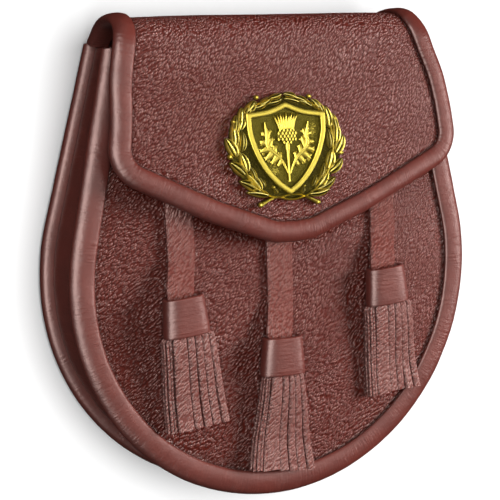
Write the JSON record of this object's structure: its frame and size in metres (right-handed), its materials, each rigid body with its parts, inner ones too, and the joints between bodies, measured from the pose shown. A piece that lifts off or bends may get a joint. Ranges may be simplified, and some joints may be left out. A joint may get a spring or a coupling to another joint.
{
  "type": "sporran pouch",
  "caption": "Leather day sporran: a round hollow pouch with bound edges, a pointed flap, hanging tassels, a cast thistle badge and belt loops on its back.",
  "frame": {"origin": "centre of the bounding box at the surface that the pouch's back lies on", "axes": "+Z out of the pouch's front, +Y towards the flap's fold, +X to the right as the front is seen"},
  "size_m": [0.179, 0.1928, 0.0463],
  "materials": {
    "grain_leather": "pebbled, semi-matt",
    "smooth_leather": "smooth, satin",
    "antique_brass": "antiqued cast metal"
  },
  "bodies": {
    "root": {"back_panel": "grain_leather", "front_panel": "grain_leather", "gusset": "smooth_leather", "back_binding": "smooth_leather", "front_binding": "smooth_leather", "flap": "grain_leather", "flap_binding": "smooth_leather", "strap_left": "grain_leather", "strap_middle": "grain_leather", "strap_right": "grain_leather", "tassel_head_left": "smooth_leather", "tassel_head_middle": "smooth_leather", "tassel_head_right": "smooth_leather", "tassel_fringe_left": "grain_leather", "tassel_fringe_middle": "grain_leather", "tassel_fringe_right": "grain_leather", "badge": "antique_brass", "clasp_stud": "antique_brass", "belt_loop_left": "smooth_leather", "belt_loop_right": "smooth_leather"}
  },
  "joints": []
}
